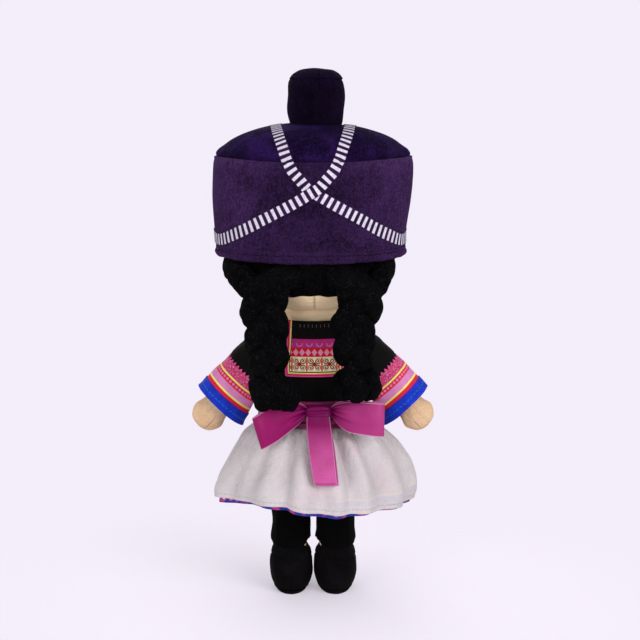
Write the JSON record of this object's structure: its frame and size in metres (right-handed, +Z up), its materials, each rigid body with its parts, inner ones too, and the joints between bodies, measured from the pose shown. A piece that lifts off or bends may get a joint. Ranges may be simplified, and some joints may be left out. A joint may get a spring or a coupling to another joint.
{
  "type": "doll",
  "caption": "Stuffed doll in traditional festive dress: tall plush hat with a stub, two thick plaits, shirt with collar flap, banded sleeves, sash with a bow, gathered skirt over a printed one",
  "frame": {"origin": "On the ground under the middle of the doll's bounding box.", "axes": "+Z up from the soles to the hat's stub. The doll faces -Y, so +X is its left side."},
  "size_m": [0.1886, 0.1344, 0.4086],
  "materials": {
    "skin_plush": "matte",
    "stuffing": "matte",
    "black_cloth": "matte",
    "hair_plush": "matte",
    "plum_plush": "matte",
    "magenta_satin": "satin",
    "white_cotton": "matte",
    "printed_cotton": "matte",
    "red_ribbon": "matte",
    "blue_cloth": "matte",
    "embroidery_thread": "satin"
  },
  "bodies": {
    "torso": {"torso_skin": "skin_plush", "torso_stuffing": "stuffing", "shirt_body": "black_cloth", "collar_flap": "red_ribbon", "shirt_lapel_left": "blue_cloth", "shirt_lapel_right": "blue_cloth", "skirt_waistband": "white_cotton", "waist_sash": "magenta_satin", "bow_knot": "magenta_satin", "bow_loop_left": "magenta_satin", "bow_loop_right": "magenta_satin", "skirt": "white_cotton", "printed_skirt": "printed_cotton", "apron": "black_cloth"},
    "bow_tails": {"bow_tail_inner": "magenta_satin", "bow_tail_outer": "magenta_satin"},
    "head": {"head_skin": "skin_plush", "head_stuffing": "stuffing", "hair_cap": "hair_plush", "eye_left": "embroidery_thread", "eye_right": "embroidery_thread", "mouth": "red_ribbon", "hat_side_band": "plum_plush", "hat_top_panel": "plum_plush", "hat_rim_roll": "plum_plush", "hat_lining": "plum_plush", "hat_stuffing": "stuffing", "hat_knob_side": "plum_plush", "hat_knob_stuffing": "stuffing", "hat_knob_cap": "plum_plush"},
    "plait_left": {"plait_left_strand_1": "hair_plush", "plait_left_strand_2": "hair_plush", "plait_left_strand_3": "hair_plush", "plait_left_tie": "black_cloth"},
    "arm_left": {"arm_left_skin": "skin_plush", "arm_left_stuffing": "stuffing", "sleeve_left": "black_cloth", "sleeve_left_band": "red_ribbon", "cuff_left": "blue_cloth"},
    "leg_left": {"leg_left_skin": "skin_plush", "leg_left_stuffing": "stuffing", "legging_left": "black_cloth", "shoe_left_upper": "black_cloth", "shoe_left_sole": "black_cloth"},
    "plait_right": {"plait_right_strand_1": "hair_plush", "plait_right_strand_2": "hair_plush", "plait_right_strand_3": "hair_plush", "plait_right_tie": "black_cloth"},
    "arm_right": {"arm_right_skin": "skin_plush", "arm_right_stuffing": "stuffing", "sleeve_right": "black_cloth", "sleeve_right_band": "red_ribbon", "cuff_right": "blue_cloth"},
    "leg_right": {"leg_right_skin": "skin_plush", "leg_right_stuffing": "stuffing", "legging_right": "black_cloth", "shoe_right_upper": "black_cloth", "shoe_right_sole": "black_cloth"}
  },
  "joints": [
    {"name": "bow_tails_lift", "type": "hinge", "parent": "torso", "child": "bow_tails", "pos_m": [-0.004, 0.03877, 0.145], "axis": [1, 0, 0], "range_deg": [0, 30]},
    {"name": "head_nod", "type": "hinge", "parent": "torso", "child": "head", "pos_m": [0, -0.00223, 0.226], "axis": [1, 0, 0], "range_deg": [-3, 15], "stiffness_Nm_per_rad": 0.6},
    {"name": "plait_left_swing", "type": "hinge", "parent": "head", "child": "plait_left", "pos_m": [0.04, 0.05977, 0.258], "axis": [1, 0, 0], "range_deg": [0, 40]},
    {"name": "arm_left_raise", "type": "hinge", "parent": "torso", "child": "arm_left", "pos_m": [0.04, -0.00223, 0.186], "axis": [0, -1, 0], "range_deg": [0, 75]},
    {"name": "leg_left_swing", "type": "hinge", "parent": "torso", "child": "leg_left", "pos_m": [0.0174, -0.00223, 0.118], "axis": [-1, 0, 0], "range_deg": [-20, 35]},
    {"name": "plait_right_swing", "type": "hinge", "parent": "head", "child": "plait_right", "pos_m": [-0.04, 0.05977, 0.258], "axis": [1, 0, 0], "range_deg": [0, 40]},
    {"name": "arm_right_raise", "type": "hinge", "parent": "torso", "child": "arm_right", "pos_m": [-0.04, -0.00223, 0.186], "axis": [0, 1, 0], "range_deg": [0, 75]},
    {"name": "leg_right_swing", "type": "hinge", "parent": "torso", "child": "leg_right", "pos_m": [-0.0174, -0.00223, 0.118], "axis": [-1, 0, 0], "range_deg": [-20, 35]}
  ]
}
